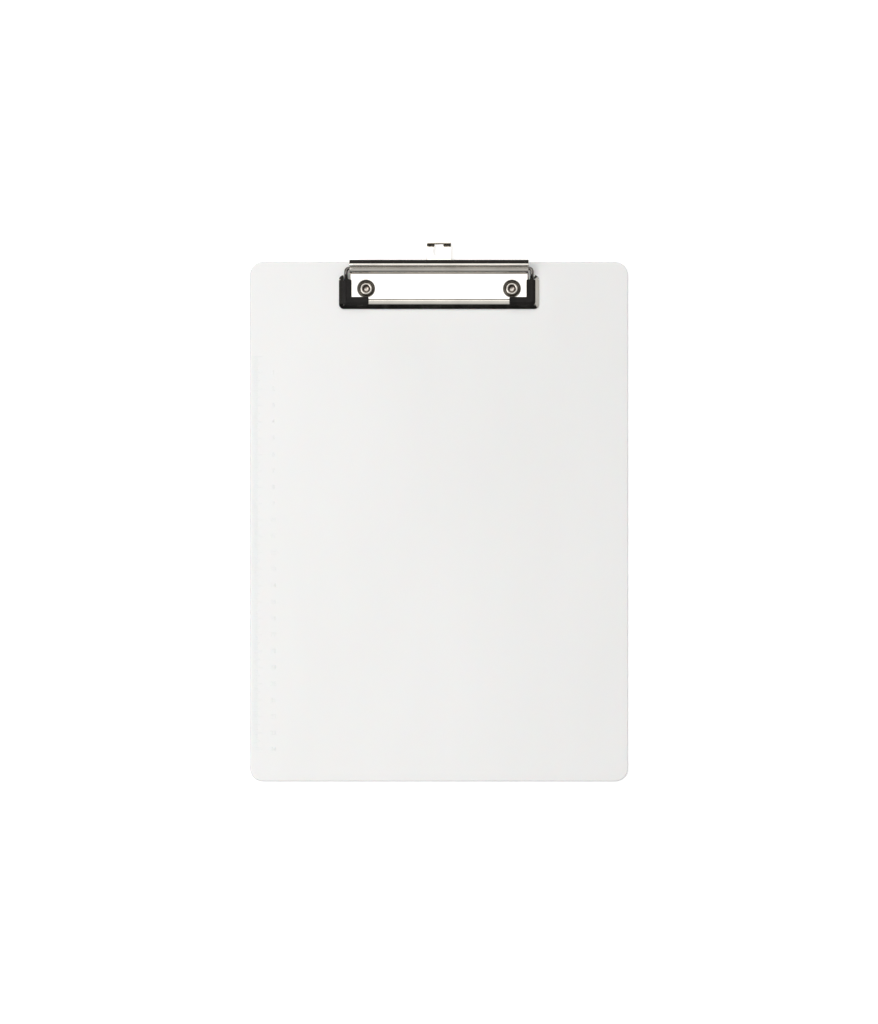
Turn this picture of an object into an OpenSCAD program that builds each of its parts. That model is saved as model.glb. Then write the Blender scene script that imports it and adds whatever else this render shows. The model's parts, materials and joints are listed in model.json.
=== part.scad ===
// Clipboard with a low-profile sprung clip and a pull-out hanging hook.
// Millimetres. The board lies flat: +Z is up, +Y points to the clip end, and
// the origin is the centre of the board's back face.

/* [Board] */
// Width of the board
board_w = 231; // [200:1:240]
// Height of the board, bottom edge to top edge
board_h = 317.5; // [280:0.5:340]
// Thickness of the board
board_t = 3; // [2.5:0.1:4]
// Radius of the board's corners in plan
board_corner_r = 8; // [4:0.5:14]

/* [Clip base] */
// Thickness of the base plate's sheet steel
base_sheet = 0.8; // [0.6:0.1:0.9]
// Half the width of the base plate
base_half_w = 54.2; // [54:0.1:54.3]
// Depth of the base plate, front edge to rear edge
base_depth = 20.65; // [20:0.05:20.7]
// Height of the base plate's underside above the board
base_gap = 1.2; // [1:0.1:1.3]
// Distance from the board's top edge to the base plate's rear edge
base_setback = 2.75; // [2:0.05:4]

/* [Rivets] */
// Distance between the two rivets
rivet_spacing = 88.9; // [80:0.1:92]
// Distance from the base plate's front edge to the rivets
rivet_inset = 6.75; // [6.5:0.05:8]
// Outer radius of the rivet's tubular shank
rivet_shank_r = 2.75; // [2:0.05:2.9]
// Radius of the blind hole in the shank
rivet_hole_r = 2.05; // [1.5:0.05:2.4]
// Radius of the rolled-over end on the clip side
rivet_roll_r = 3.85; // [3.4:0.05:4]
// Radius of the factory head in the back of the board
rivet_head_r = 4.75; // [4:0.05:6]
// Thickness of the factory head
rivet_head_t = 1; // [0.6:0.1:1.2]

/* [Hanging hook] */
// Width of the hook's neck
hook_w = 14.9; // [12:0.1:15.4]
// Distance that the pulled-out hook stands past the board's top edge
hook_reach = 11.55; // [11.5:0.05:12.5]
// Travel of the hook into the clip
hook_travel = 11; // [8:0.5:11]
// Radius of the round part of the keyhole
keyhole_r = 3.9; // [3.5:0.1:3.9]
// Width of the keyhole's slot
keyhole_slot_w = 5.3; // [3:0.1:5.3]

/* [Clamp] */
// Diameter of the spring-steel wire of the bail
wire_d = 2.2; // [2:0.1:2.2]
// Thickness of the lever's sheet steel
lever_sheet = 0.65; // [0.5:0.05:0.65]
// Half the width of the lever
lever_half_w = 54.3; // [53.8:0.1:54.4]
// Angle that the lever leans back from upright
lever_lean = 6; // [4:1:18]
// Length of the lever's straight face
lever_face = 5.5; // [4:0.1:8]
// Length of the lip folded back along the lever's top
lever_lip = 3; // [1:0.1:3]
// Half the width of the jaw bar over its flanges
jaw_half_w = 61.1; // [61:0.1:61.5]
// Thickness of the jaw bar's sheet steel
jaw_sheet = 0.6; // [0.5:0.05:0.6]

/* [Corner grips] */
// Thickness of the rubber over the jaw bar
grip_cover = 0.8; // [0.5:0.1:1.2]
// Length of the grip's arm along the front, from its outer side
grip_front_len = 15.9; // [12:0.1:18]
// Length of the grip's arm along the side, from its front
grip_side_len = 15.7; // [12:0.1:15.7]

/* [Torsion springs] */
// Diameter of the spring's wire
spring_wire_d = 0.7; // [0.5:0.05:0.7]
// Number of full turns in each coil
spring_turns = 6; // [3:1:7]
// Distance from one turn to the next
spring_pitch = 0.85; // [0.8:0.05:1]

/* [Hidden] */
$fn = 64;

eps = 0.01;
arc_step = 12;

// Heights. The jaw and the bail rest paper_gap above the bare board.
board_top = board_t;
paper_gap = 0.3;
base_under = board_top + base_gap;
base_top = base_under + base_sheet;

// Places along Y.
board_top_edge = board_h / 2;
base_rear = board_top_edge - base_setback;
base_front = base_rear - base_depth;
rivet_y = base_front + rivet_inset;

// Hinge: the bail's inward ends turn in four knuckles of the base plate.
wire_r = wire_d / 2;
knuckle_bore_r = wire_r + 0.05;
knuckle_r = knuckle_bore_r + 0.65;
knuckle_spans = [[26, 32], [46, 53]];
hinge_y = base_rear - knuckle_r;
hinge_z = base_top + knuckle_r + 0.2;

// Bail: U of wire, with a joggle down from the hinge to the paper.
wire_inner_x = 24;
wire_rear_r = 2;
wire_front_r = 2.5;
joggle_r = 2;
joggle_angle = 40;
bend_thinning = 0.02;
bend_lap = 3;
wire_side_inset = 4.5;
wire_front_inset = 3.7;
wire_side_x = jaw_half_w - wire_side_inset;
wire_low_z = board_top + paper_gap + wire_r;
jaw_front = base_front - 5.65;
wire_front_y = jaw_front + wire_front_inset;
joggle_drop = hinge_z - wire_low_z;
joggle_straight =
  (joggle_drop - 2 * joggle_r * (1 - cos(joggle_angle))) / sin(joggle_angle);
joggle_start_y = hinge_y - wire_rear_r - 0.5;
slope_y = joggle_start_y - joggle_r * sin(joggle_angle);
slope_z = hinge_z - joggle_r * (1 - cos(joggle_angle));
joggle_end_y = slope_y - joggle_straight * cos(joggle_angle)
  - joggle_r * sin(joggle_angle);

// Flat on the bail where the lever's ears grip it, measured from the axis.
ear_t = 0.65;
wire_flat = 0.75;
fit_gap = 0.03;

// Jaw bar section: sloping flange, web over the wire, and a lip behind it.
web_z = board_top + paper_gap + wire_d + 0.05;
web_top = web_z + jaw_sheet;
web_start = 3;
side_web_end = 6.2;
front_web_end = 5.4;
flange_tip_z = board_top + paper_gap + 0.45;
jaw_side_end = base_rear - 5.4;
web_side_end = base_rear - 8.6;
jaw_corner_r = 3;
lip_bottom = web_z - 0.95;
lip_t = 0.55;
lip_relief = 4.5;

// Lever section, about the hinge axis.
shroud_r = 2.4 + lever_sheet / 2;
shroud_from = 205;
shroud_to = 100;
lever_bend_r = 0.75;
lip_bend_r = 0.5;
lip_slope = 36;
curl_turn = 100;
ear_r = 1.85;

// Corner grips.
grip_inset = jaw_half_w - 2.35;
grip_inner_side = 5.45;
grip_inner_front = 5;
grip_z = base_top + 0.3;
grip_top = web_top + grip_cover;
grip_front_y = jaw_front + 2.2;

// Hook, in the gap between the board and the base plate.
hook_sheet = 0.8;
hook_z = board_top + 0.1;
hook_end = board_top_edge + hook_reach;
hook_lip_r = 1;
hook_lip_angle = 37;
hook_lip_len = 2.575;
hook_lip_y = hook_end - 2.9;
tee_half_w = 10.5;
tee_len = 2.7;
tee_rear = base_rear - 2.9;
slot_end = hook_end - 1.25;
keyhole_y = slot_end - keyhole_r - 0.01;
stop_t = 0.7;

// Torsion springs, on the bail's ends between the knuckles.
spring_r = 1.55;
spring_x = 36.2;
spring_leg_up = 5.9;
spring_leg_out = 1.5;
spring_sides = 6;
spring_step = 22.5;
spring_end_x = spring_x + spring_pitch * (spring_turns + 0.25);

chrome = [0.80, 0.80, 0.79];
zinc = [0.72, 0.71, 0.68];
rubber = [0.10, 0.10, 0.10];
frosted = [0.93, 0.93, 0.92];

// ---------------------------------------------------------------- helpers

// Extrudes a (Y, Z) outline along X, from x0 to x1.
module along_x(x0, x1)
  translate([x0, 0, 0]) rotate([90, 0, 90]) linear_extrude(x1 - x0) children();

// Extrudes an (X, Z) outline along Y, from y0 to y1.
module along_y(y0, y1)
  translate([0, y1, 0]) rotate([90, 0, 0]) linear_extrude(y1 - y0) children();

// Box between two corners.
module box(lo, hi) translate(lo) cube(hi - lo);

// Left and right copies of a part that is drawn on the +X side.
module both_sides() {
  children();
  mirror([1, 0, 0]) children();
}

// Rectangle about the Y axis with round corners, made from exact circles.
module round_rect(half_w, y0, y1, r) {
  translate([-half_w + r, y0]) square([2 * (half_w - r), y1 - y0]);
  translate([-half_w, y0 + r]) square([2 * half_w, y1 - y0 - 2 * r]);
  for (x = [-half_w + r, half_w - r], y = [y0 + r, y1 - r])
    translate([x, y]) circle(r = r);
}

// A sheet's centreline from moves: [length] is straight, [radius, turn] is an
// arc, and a positive turn bends left. Each point is [y, z, heading].
function move(p, m) =
  len(m) == 1
  ? [[p[0] + m[0] * cos(p[2]), p[1] + m[0] * sin(p[2]), p[2]]]
  : let (n = ceil(abs(m[1]) / arc_step), s = sign(m[1]),
         cy = p[0] - s * m[0] * sin(p[2]), cz = p[1] + s * m[0] * cos(p[2]))
    [for (i = [1:n]) let (h = p[2] + m[1] * i / n)
      [cy + s * m[0] * sin(h), cz - s * m[0] * cos(h), h]];
function trace(p, moves, i = 0) =
  i == len(moves)
  ? [p]
  : let (made = move(p, moves[i]))
    concat([p], [for (k = [0:1:len(made) - 2]) made[k]],
           trace(made[len(made) - 1], moves, i + 1));

// Outline of a bent sheet of thickness t about its centreline.
module bent_sheet(path, t) {
  side = [for (p = path) [-sin(p[2]), cos(p[2])] * t / 2];
  n = len(path);
  polygon(concat(
    [for (i = [0:n - 1]) [path[i][0], path[i][1]] + side[i]],
    [for (i = [n - 1:-1:0]) [path[i][0], path[i][1]] - side[i]]));
}

// ------------------------------------------------------------------ board

// Rounded panel with two shank holes and recesses for the rivet heads.
module board_panel() color(frosted) difference() {
  linear_extrude(board_t)
    round_rect(board_w / 2, -board_top_edge, board_top_edge, board_corner_r);
  for (x = [-1, 1] * rivet_spacing / 2) translate([x, rivet_y, 0]) {
    translate([0, 0, -1]) cylinder(h = board_t + 2, r = rivet_shank_r + 0.05);
    translate([0, 0, -1]) cylinder(h = rivet_head_t + 1.1, r = rivet_head_r + 0.2);
  }
}

// -------------------------------------------------------------- clip base

// Cup that carries the base plate down to the board round a rivet.
module rivet_cup() rotate_extrude() polygon([
  [rivet_shank_r + 0.05, board_top], [4.2, board_top], [5.65, base_under],
  [5.65, base_top], [5.3, base_top], [3.85, board_top + base_sheet],
  [rivet_shank_r + 0.05, board_top + base_sheet]
]);

// Knuckle rolled up from the plate's rear edge.
module knuckle(x0, x1) {
  box([x0, base_rear - 0.8, base_under], [x1, base_rear - 0.15, hinge_z]);
  translate([x0, hinge_y, hinge_z]) rotate([0, 90, 0])
    cylinder(h = x1 - x0, r = knuckle_r);
}

// Rails and stop shoulders that guide the hook, lanced down from the plate.
module hook_guide() {
  rail_x = tee_half_w + 0.3;
  box([rail_x, tee_rear - tee_len - hook_travel - 0.4, board_top + 0.05],
      [rail_x + stop_t, tee_rear + 0.1 + stop_t, base_under + eps]);
  box([hook_w / 2 + 0.45, tee_rear + 0.1, board_top + 0.05],
      [rail_x + eps, tee_rear + 0.1 + stop_t, base_under + eps]);
}

// Raised plate with turned-down front and sides.
module clip_base() color(chrome) difference() {
  union() {
    difference() {
      union() {
        box([-base_half_w, base_front, base_under],
            [base_half_w, base_rear, base_top]);
        box([-base_half_w, base_front, board_top + 0.05],
            [base_half_w, base_front + 0.7, base_under + eps]);
        both_sides()
          box([base_half_w - 0.7, base_front, board_top + 0.05],
              [base_half_w, base_rear, base_under + eps]);
      }
      for (x = [-1, 1] * rivet_spacing / 2)
        translate([x, rivet_y, board_top - 1]) cylinder(h = 5, r = 5.5);
    }
    for (x = [-1, 1] * rivet_spacing / 2)
      translate([x, rivet_y, 0]) rivet_cup();
    both_sides() {
      hook_guide();
      for (s = knuckle_spans) knuckle(s[0], s[1]);
    }
  }
  both_sides() {
    translate([knuckle_spans[0][0] - 1, hinge_y, hinge_z]) rotate([0, 90, 0])
      cylinder(h = base_half_w, r = knuckle_bore_r);
    translate([spring_end_x, hinge_y - spring_leg_out, base_under - 1])
      cylinder(h = base_sheet + 2, r = spring_wire_d / 2 + 0.15);
  }
}

// ----------------------------------------------------------------- rivets

// Semi-tubular rivet: flat head in the board's back, rolled end on the clip.
module rivet(x) color(zinc) translate([x, rivet_y, 0]) {
  roll_z = board_top + base_sheet;
  roll_mid = (rivet_roll_r + rivet_hole_r) / 2;
  roll_half = (rivet_roll_r - rivet_hole_r) / 2;
  rotate_extrude() {
    polygon([
      [0, 0.05], [rivet_head_r, 0.05], [rivet_head_r, rivet_head_t],
      [rivet_shank_r, rivet_head_t], [rivet_shank_r, roll_z + 0.4],
      [rivet_hole_r, roll_z + 0.4], [rivet_hole_r, rivet_head_t + 1],
      [rivet_hole_r - 0.8, rivet_head_t + 0.6], [0, rivet_head_t + 0.6]
    ]);
    difference() {
      translate([roll_mid, roll_z + 0.05]) circle(r = roll_half);
      translate([0, roll_z - 1.98]) square([6, 2]);
    }
  }
}

// ------------------------------------------------------------------- hook

// Flat tab with a tee at the inner end, a keyhole, and a turned-up finger lip.
module hanging_hook() color(chrome) difference() {
  union() {
    box([-tee_half_w, tee_rear - tee_len, hook_z],
        [tee_half_w, tee_rear, hook_z + hook_sheet]);
    along_x(-hook_w / 2, hook_w / 2)
      bent_sheet(
        trace([tee_rear - 1, hook_z + hook_sheet / 2, 0],
              [[hook_lip_y - tee_rear + 1], [hook_lip_r, hook_lip_angle],
               [hook_lip_len]]),
        hook_sheet);
  }
  translate([0, keyhole_y, hook_z - 1]) cylinder(h = 6, r = keyhole_r);
  box([-keyhole_slot_w / 2, keyhole_y, hook_z - 1],
      [keyhole_slot_w / 2, slot_end, hook_z + 6]);
}

// ------------------------------------------------------------------ lever

// Side ear of the lever: a disc round the wire joined to the shroud's end.
module ear_outline() difference() {
  union() {
    circle(r = ear_r);
    intersection() {
      circle(r = shroud_r);
      polygon(concat([[0, 0]], [for (a = [shroud_to, 135, 170, shroud_from])
        5 * [cos(a), sin(a)]]));
    }
  }
  difference() {
    circle(r = wire_r + fit_gap);
    translate([-3, wire_flat + fit_gap]) square([6, 3]);
  }
}

// Sheet that covers the hinge, turns up as a thumb lever and folds back on top.
module lever() color(chrome) translate([0, hinge_y, hinge_z]) {
  along_x(-lever_half_w, lever_half_w)
    bent_sheet(
      trace([shroud_r * cos(shroud_from), shroud_r * sin(shroud_from),
             shroud_from - 90],
            [[shroud_r, shroud_to - shroud_from],
             [lever_bend_r, 180 - lever_lean - shroud_to],
             [lever_face],
             [lip_bend_r, lever_lean - lip_slope - 90],
             [lever_lip],
             [lip_bend_r, -curl_turn]]),
      lever_sheet);
  both_sides() along_x(lever_half_w - ear_t, lever_half_w) ear_outline();
}

// ------------------------------------------------------------------- bail

// Bend of the wire, in its own plane. The wire draws a little thinner where it
// bends, and a bend's ends run into the straight wire on both sides of it.
module wire_bend(r, from, turn)
  rotate([0, 0, from - bend_lap]) rotate_extrude(angle = turn + 2 * bend_lap)
    translate([r, 0]) circle(r = wire_r - bend_thinning, $fn = 32);

// Straight wire along X, Y or another direction in the YZ plane.
module wire_rod(p, length, angles)
  translate(p) rotate(angles) cylinder(h = length, r = wire_r, $fn = 32);

// Half of the bail, on the +X side.
module bail_half() {
  bend_x = wire_side_x - wire_rear_r;
  front_x = wire_side_x - wire_front_r;
  difference() {
    wire_rod([wire_inner_x, hinge_y, hinge_z], bend_x - wire_inner_x, [0, 90, 0]);
    box([lever_half_w - ear_t - 0.1, hinge_y - 3, hinge_z + wire_flat],
        [lever_half_w + 0.1, hinge_y + 3, hinge_z + 3]);
  }
  translate([bend_x, hinge_y - wire_rear_r, hinge_z]) wire_bend(wire_rear_r, 0, 90);
  wire_rod([wire_side_x, hinge_y - wire_rear_r, hinge_z],
           hinge_y - wire_rear_r - joggle_start_y, [90, 0, 0]);
  translate([wire_side_x, joggle_start_y, hinge_z - joggle_r])
    rotate([90, 0, 90]) wire_bend(joggle_r, 90, joggle_angle);
  wire_rod([wire_side_x, slope_y, slope_z], joggle_straight,
           [90 + joggle_angle, 0, 0]);
  translate([wire_side_x, joggle_end_y, wire_low_z + joggle_r])
    rotate([90, 0, 90]) wire_bend(joggle_r, 270, joggle_angle);
  wire_rod([wire_side_x, joggle_end_y, wire_low_z],
           joggle_end_y - wire_front_y - wire_front_r, [90, 0, 0]);
  translate([front_x, wire_front_y + wire_front_r, wire_low_z])
    wire_bend(wire_front_r, -90, 90);
}

// One wire: an inward end, an arm and a corner on each side, and a front run.
module bail_wire() color(chrome) {
  front_x = wire_side_x - wire_front_r;
  both_sides() bail_half();
  wire_rod([-front_x, wire_front_y, wire_low_z], 2 * front_x, [0, 90, 0]);
}

// ---------------------------------------------------------------- jaw bar

// Section of the flange and web; u is the distance in from the flange's tip.
module jaw_section(web_end) {
  slope = atan2(web_top - flange_tip_z, web_start);
  under = jaw_sheet / cos(slope);
  foot = flange_tip_z - 0.45;
  polygon([
    [0, flange_tip_z], [web_start, web_top], [web_end, web_top],
    [web_end, web_z], [(web_z + under - flange_tip_z) / tan(slope), web_z],
    [(foot + under - flange_tip_z) / tan(slope), foot], [0, foot]
  ]);
}

// U of bent sheet over the bail's front and sides, mitred at its corners. The
// flange turns in a little way round the rear corners.
module jaw_bar() color(chrome) {
  jaw_depth = jaw_side_end - jaw_front;
  mitre = jaw_depth / 2;
  difference() {
    intersection() {
      union() {
        intersection() {
          along_x(-jaw_half_w, jaw_half_w) translate([jaw_front, 0])
            jaw_section(front_web_end);
          linear_extrude(20) polygon([
            [-jaw_half_w, jaw_front], [jaw_half_w, jaw_front],
            [jaw_half_w - mitre, jaw_front + mitre],
            [mitre - jaw_half_w, jaw_front + mitre]
          ]);
        }
        both_sides() intersection() {
          along_y(jaw_front, jaw_side_end)
            translate([jaw_half_w, 0]) mirror([1, 0]) jaw_section(side_web_end);
          linear_extrude(20) polygon([
            [jaw_half_w, jaw_front], [jaw_half_w, jaw_side_end],
            [jaw_half_w - mitre, jaw_front + mitre]
          ]);
        }
        both_sides() intersection() {
          along_x(jaw_half_w - web_start, jaw_half_w)
            translate([jaw_side_end, 0]) mirror([1, 0]) jaw_section(side_web_end);
          linear_extrude(20) polygon([
            [jaw_half_w, jaw_side_end], [jaw_half_w - mitre, jaw_side_end],
            [jaw_half_w - mitre, jaw_front + mitre]
          ]);
        }
      }
      linear_extrude(20)
        round_rect(jaw_half_w, jaw_front, jaw_side_end, jaw_corner_r);
    }
    box([web_start - jaw_half_w, web_side_end, 0],
        [jaw_half_w - web_start, jaw_side_end + 1, 20]);
  }
  lip_half_w = jaw_half_w - side_web_end - lip_relief;
  lip_rear = jaw_front + front_web_end;
  box([-lip_half_w, lip_rear - lip_t, lip_bottom], [lip_half_w, lip_rear, web_z + 0.1]);
  both_sides()
    box([jaw_half_w - side_web_end, lip_rear + lip_relief, lip_bottom],
        [jaw_half_w - side_web_end + lip_t, web_side_end, web_z + 0.1]);
}

// ----------------------------------------------------------- corner grips

// L in plan. The outer corner is round, and grow moves its inner sides in.
module grip_outline(inner_side, inner_front, front_len, side_len) {
  r = 2;
  x1 = grip_inset;
  y0 = grip_front_y;
  translate([x1 - inner_side, y0 + r]) square([inner_side, side_len - r]);
  translate([x1 - front_len, y0]) square([front_len - r, inner_front]);
  translate([x1 - r, y0 + r]) circle(r = r);
}

// Rubber L moulded over the jaw bar's corner, thicker behind the bar's lip.
module corner_grip() color(rubber) {
  web_side = grip_inset - (jaw_half_w - side_web_end) + fit_gap;
  web_front = jaw_front + front_web_end + fit_gap - grip_front_y;
  translate([0, 0, web_top + fit_gap]) linear_extrude(grip_top - web_top - fit_gap)
    grip_outline(grip_inner_side, grip_inner_front, grip_front_len, grip_side_len);
  translate([0, 0, grip_z]) difference() {
    linear_extrude(web_top + 0.2 - grip_z)
      grip_outline(grip_inner_side, grip_inner_front, grip_front_len,
                   grip_side_len);
    translate([grip_inset - web_side, grip_front_y - 5, -1])
      cube([20, 30, 5]);
    translate([grip_inset - 30, grip_front_y - 5, -1])
      cube([50, 5 + web_front, 5]);
  }
}

// ---------------------------------------------------------------- springs

// Centreline of a spring: leg up behind the lever, coil, leg into the plate.
spring_path = concat(
  [for (z = [spring_leg_up, spring_leg_up / 2]) [spring_x, spring_r, z]],
  [for (a = [0:spring_step:360 * spring_turns + 90])
    [spring_x + spring_pitch * a / 360, spring_r * cos(a), -spring_r * sin(a)]],
  [[spring_end_x, 0.4 - spring_leg_out, -spring_r],
   [spring_end_x, -spring_leg_out, -spring_r - 0.4],
   [spring_end_x, -spring_leg_out, base_under - hinge_z + 0.1]]);

function unit(v) = v / norm(v);

// Tube of round wire along a path that runs nearly square to X.
module spring_wire(path, r, sides) {
  n = len(path);
  points = [for (i = [0:n - 1])
    let (run = path[min(i + 1, n - 1)] - path[max(i - 1, 0)],
         side = unit(cross(run, [1, 0, 0])))
    for (k = [0:sides - 1])
      path[i] + r * (cos(360 * k / sides) * [1, 0, 0] + sin(360 * k / sides) * side)];
  walls = [for (i = [0:n - 2], k = [0:sides - 1])
    let (a = i * sides + k, b = i * sides + (k + 1) % sides)
      [b, a, a + sides, b + sides]];
  polyhedron(points, concat(
    [[for (k = [0:sides - 1]) k]],
    walls,
    [[for (k = [sides - 1:-1:0]) (n - 1) * sides + k]]));
}

module torsion_spring() color(zinc) translate([0, hinge_y, hinge_z])
  spring_wire(spring_path, spring_wire_d / 2, spring_sides);

// ------------------------------------------------------------------ nodes

board_panel();
clip_base();
rivet(-rivet_spacing / 2);  // rivet_left
rivet(rivet_spacing / 2);  // rivet_right
hanging_hook();
lever();
bail_wire();
jaw_bar();
mirror([1, 0, 0]) corner_grip();  // corner_grip_left
corner_grip();  // corner_grip_right
mirror([1, 0, 0]) torsion_spring();  // torsion_spring_left
torsion_spring();  // torsion_spring_right
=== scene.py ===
"""Looks of a clipboard with a low-profile sprung clip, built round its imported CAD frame.

Shapes are worked out in millimetres in the CAD frame and stored in metres. The board lies
flat: +Z is up, +Y points to the clip end. Every piece sits where its CAD node does.
"""

import json
from math import atan2, ceil, cos, degrees, pi, radians, sin

import bmesh
import bpy
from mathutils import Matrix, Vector


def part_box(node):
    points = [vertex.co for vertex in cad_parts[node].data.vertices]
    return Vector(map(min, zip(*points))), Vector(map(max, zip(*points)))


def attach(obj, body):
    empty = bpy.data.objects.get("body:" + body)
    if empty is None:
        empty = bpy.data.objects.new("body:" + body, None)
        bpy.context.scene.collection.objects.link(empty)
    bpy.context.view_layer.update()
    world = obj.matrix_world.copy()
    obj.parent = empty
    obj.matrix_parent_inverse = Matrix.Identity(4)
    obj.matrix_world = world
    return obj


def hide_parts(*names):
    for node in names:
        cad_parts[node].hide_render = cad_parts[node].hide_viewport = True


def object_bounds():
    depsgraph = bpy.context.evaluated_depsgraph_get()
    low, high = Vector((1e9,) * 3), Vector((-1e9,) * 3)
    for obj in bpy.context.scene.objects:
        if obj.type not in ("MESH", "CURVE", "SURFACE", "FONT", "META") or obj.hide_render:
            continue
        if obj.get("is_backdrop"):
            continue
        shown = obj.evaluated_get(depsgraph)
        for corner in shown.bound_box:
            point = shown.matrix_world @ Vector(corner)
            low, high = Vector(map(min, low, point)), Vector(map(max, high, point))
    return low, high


MM = 0.001

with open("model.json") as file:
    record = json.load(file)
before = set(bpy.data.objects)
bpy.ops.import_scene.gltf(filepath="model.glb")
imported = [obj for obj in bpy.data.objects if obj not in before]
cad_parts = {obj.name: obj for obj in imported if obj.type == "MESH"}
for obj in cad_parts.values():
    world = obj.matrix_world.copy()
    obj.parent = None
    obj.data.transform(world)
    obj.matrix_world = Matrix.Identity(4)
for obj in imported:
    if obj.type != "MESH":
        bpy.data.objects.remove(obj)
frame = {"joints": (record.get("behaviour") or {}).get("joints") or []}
cad_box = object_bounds()


# ------------------------------------------------------- places taken from the frame


class Box:
    """A CAD node's box in millimetres."""

    def __init__(self, node):
        low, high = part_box(node)
        self.x0, self.y0, self.z0 = (v / MM for v in low)
        self.x1, self.y1, self.z1 = (v / MM for v in high)
        self.half_w = (self.x1 - self.x0) / 2
        self.mid_x = (self.x0 + self.x1) / 2
        self.mid_y = (self.y0 + self.y1) / 2


BOARD = Box("board_panel")
BASE = Box("clip_base")
LEVER = Box("lever")
JAW = Box("jaw_bar")
BAIL = Box("bail_wire")
HOOK = Box("hanging_hook")
GRIP = Box("corner_grip_right")
RIVET = Box("rivet_right")
SPRING = Box("torsion_spring_right")
HINGE = next(joint for joint in frame["joints"] if joint["name"] == "clamp_hinge")
HINGE_Y, HINGE_Z = (v / MM for v in HINGE["pos_m"][1:])
RIVET_X, RIVET_Y = RIVET.mid_x, RIVET.mid_y


# ---------------------------------------------------------------------- mesh helpers


def new_mesh(name, points, faces, weld=1e-4):
    """A mesh object from points in millimetres, with doubles merged and normals outward."""
    bm = bmesh.new()
    verts = [bm.verts.new(p) for p in points]
    for face in faces:
        corners = [verts[i] for i in face]
        if len(set(corners)) > 2:
            bm.faces.new(corners)
    bmesh.ops.remove_doubles(bm, verts=bm.verts, dist=weld)
    bmesh.ops.dissolve_degenerate(bm, dist=weld, edges=bm.edges)
    bmesh.ops.recalc_face_normals(bm, faces=bm.faces)
    bmesh.ops.scale(bm, vec=(MM, MM, MM), verts=bm.verts)
    mesh = bpy.data.meshes.new(name)
    bm.to_mesh(mesh)
    bm.free()
    piece = bpy.data.objects.new(name, mesh)
    bpy.context.scene.collection.objects.link(piece)
    return piece


def bake(piece):
    """Applies a piece's modifiers."""
    bpy.context.view_layer.update()
    graph = bpy.context.evaluated_depsgraph_get()
    mesh = bpy.data.meshes.new_from_object(piece.evaluated_get(graph))
    piece.modifiers.clear()
    piece.data = mesh


def thicken(piece, sheet, side=-1):
    """Gives a surface a thickness in millimetres: side is -1 for below its faces, 0 for both."""
    solid = piece.modifiers.new("sheet", "SOLIDIFY")
    solid.thickness = sheet * MM
    solid.offset = side
    solid.use_even_offset = False
    solid.use_quality_normals = True
    bake(piece)


def round_edges(piece, width, angle, segments):
    """Rounds the sharp edges, in millimetres."""
    bevel = piece.modifiers.new("round", "BEVEL")
    bevel.width = width * MM
    bevel.segments = segments
    bevel.limit_method = "ANGLE"
    bevel.angle_limit = radians(angle)
    bevel.use_clamp_overlap = True
    bevel.harden_normals = False
    bake(piece)


def cut(piece, *tools):
    """Cuts tool shapes out of a piece, and removes the tools."""
    for tool in tools:
        boolean = piece.modifiers.new("cut", "BOOLEAN")
        boolean.object = tool
        boolean.operation = "DIFFERENCE"
        boolean.solver = "EXACT"
        bake(piece)
        bpy.data.objects.remove(tool)


def join(piece, other):
    """Adds another mesh's faces to a piece, and removes the other."""
    bm = bmesh.new()
    bm.from_mesh(piece.data)
    bm.from_mesh(other.data)
    bpy.data.objects.remove(other)
    bm.to_mesh(piece.data)
    bm.free()


def smooth(piece, angle=32):
    """Smooth shading, with flat faces kept flat by area-weighted normals."""
    piece.data.shade_smooth()
    piece.data.set_sharp_from_angle(angle=radians(angle))
    weighted = piece.modifiers.new("weighted", "WEIGHTED_NORMAL")
    weighted.keep_sharp = True
    weighted.weight = 80


def place(piece, body, material, nodes):
    """Puts a finished piece on its body, in place of its CAD nodes."""
    piece.data.materials.clear()
    piece.data.materials.append(material)
    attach(piece, body)
    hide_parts(*nodes)


def grid(rows, closed_cols=False):
    """Points and quads of a grid given as rows of points, which may be closed loops."""
    m = len(rows[0])
    points = [p for row in rows for p in row]
    faces = []
    for i in range(len(rows) - 1):
        for j in range(m if closed_cols else m - 1):
            following = (j + 1) % m
            faces.append((i * m + j, i * m + following,
                          (i + 1) * m + following, (i + 1) * m + j))
    return points, faces


def capped(rows):
    """Points and faces of a tube given as closed rows, with a face over each end."""
    points, faces = grid(rows, closed_cols=True)
    count = len(rows[0])
    last = (len(rows) - 1) * count
    return points, faces + [list(range(count)), [last + k for k in range(count)]]


def trace(start, heading, moves, step=7.5):
    """Points (u, v, heading) of a bent line. A move is (length,) or (radius, turn)."""
    path = [(start[0], start[1], heading)]
    for move in moves:
        u, v, h = path[-1]
        if len(move) == 1:
            path.append((u + move[0] * cos(radians(h)), v + move[0] * sin(radians(h)), h))
            continue
        radius, turn = move
        side = 1 if turn > 0 else -1
        centre = (u - side * radius * sin(radians(h)), v + side * radius * cos(radians(h)))
        count = ceil(abs(turn) / step)
        for i in range(1, count + 1):
            a = radians(h + turn * i / count)
            path.append((centre[0] + side * radius * sin(a),
                         centre[1] - side * radius * cos(a), degrees(a)))
    return path


END_TURNS = (30, 60, 90, 120, 150)


def sheet_section(path, sheet):
    """Outline of a bent sheet about its centreline, as its two sides and two round ends."""
    half = sheet / 2

    def shifted(p, across, along):
        a = radians(p[2])
        return (p[0] - sin(a) * across + cos(a) * along,
                p[1] + cos(a) * across + sin(a) * along)

    left = [shifted(p, half, 0) for p in path]
    right = [shifted(p, -half, 0) for p in reversed(path)]
    far = [shifted(path[-1], half * cos(radians(t)), half * sin(radians(t)))
           for t in END_TURNS]
    near = [shifted(path[0], -half * cos(radians(t)), -half * sin(radians(t)))
            for t in END_TURNS]
    return left + far + right + near


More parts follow.
